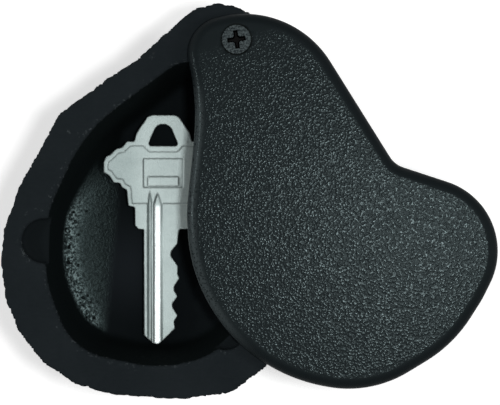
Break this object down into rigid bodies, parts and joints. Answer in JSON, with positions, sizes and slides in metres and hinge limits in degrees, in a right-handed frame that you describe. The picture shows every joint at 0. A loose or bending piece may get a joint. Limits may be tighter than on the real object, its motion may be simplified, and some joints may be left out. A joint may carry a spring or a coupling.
{
  "type": "hide a key rock",
  "caption": "Hollow artificial rock with a pivoting plastic cover over a cavity that hides a spare door key.",
  "frame": {"origin": "on the flat of the crown that the rock lies on when it is turned over to be opened, below the middle of the hollow", "axes": "+Z points out of the hollow and is square to the rim, +Y towards the end with the pivot screw, +X towards the side that the cover opens to. In the garden the rock is the other way up, with +Z pointing down"},
  "size_m": [0.1211, 0.0967, 0.0441],
  "materials": {
    "rock": "matte",
    "anchor": "satin",
    "screw": "satin",
    "cover": "satin",
    "key": "satin"
  },
  "bodies": {
    "rock": {"rock_body": "rock", "screw_anchor": "anchor", "pivot_screw": "screw"},
    "cover": {"cover": "cover"},
    "key": {"key": "key"}
  },
  "joints": [
    {"name": "cover_swing", "type": "hinge", "parent": "rock", "child": "cover", "pos_m": [0.0211, 0.0426, 0.0421], "axis": [0, 0, 1], "range_deg": [-48, 132]},
    {"name": "key_lift", "type": "slide", "parent": "rock", "child": "key", "axis": [-0.4624, -0.1571, 0.8726], "range_m": [0, 0.0264]}
  ]
}
